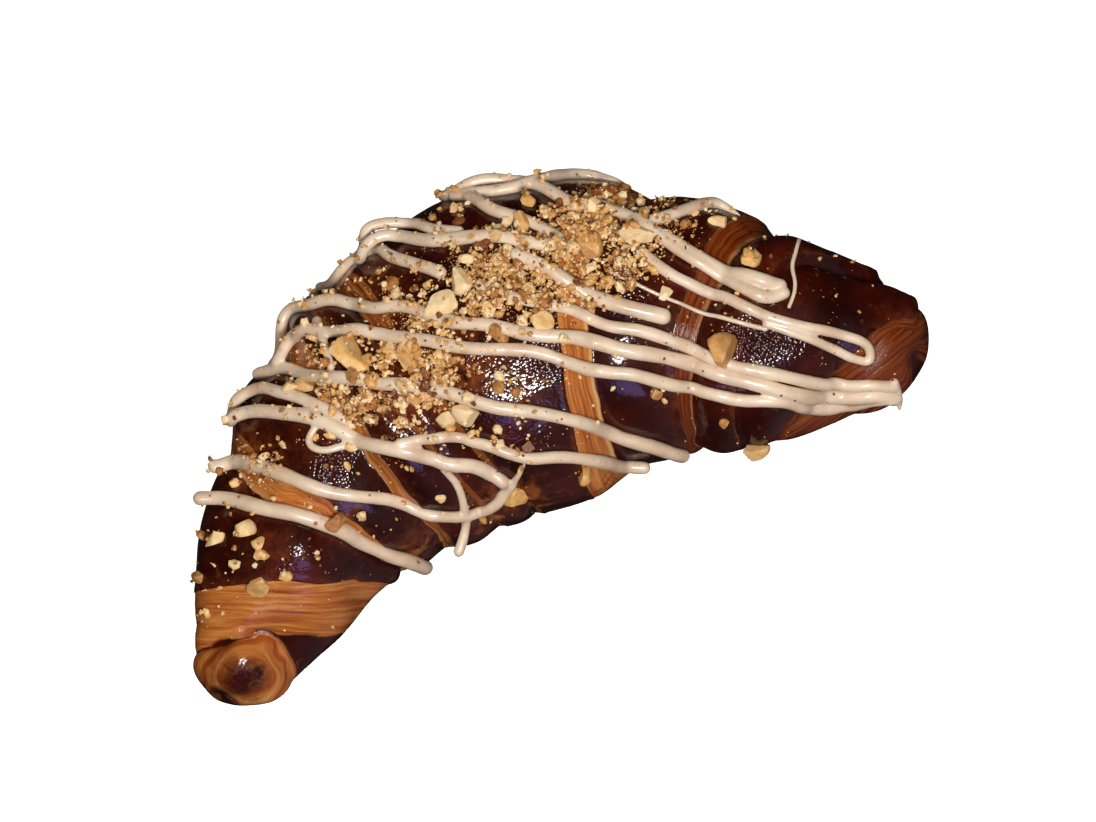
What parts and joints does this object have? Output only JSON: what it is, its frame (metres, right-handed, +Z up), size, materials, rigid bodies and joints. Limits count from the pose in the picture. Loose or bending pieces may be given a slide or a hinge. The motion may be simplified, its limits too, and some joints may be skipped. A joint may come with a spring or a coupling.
{
  "type": "chocolate croissant with icing and nuts",
  "caption": "Baked chocolate croissant: dark glazed turns with pale layered edges, piped icing and chopped nuts on top, resting on a flat underside.",
  "frame": {"origin": "middle of the bounding box, on the surface that the croissant rests on", "axes": "+X along its length, +Z up, -Y towards its hollow side"},
  "size_m": [0.1635, 0.0815, 0.0563],
  "materials": {
    "crust": "baked dark dough under a glossy sugar glaze, with amber layered edges",
    "icing": "set beige icing with a soft gloss and fine brown specks",
    "nuts": "dry roasted nut pieces, pale inside and tan outside"
  },
  "bodies": {
    "root": {"croissant": "crust"}
  },
  "joints": []
}
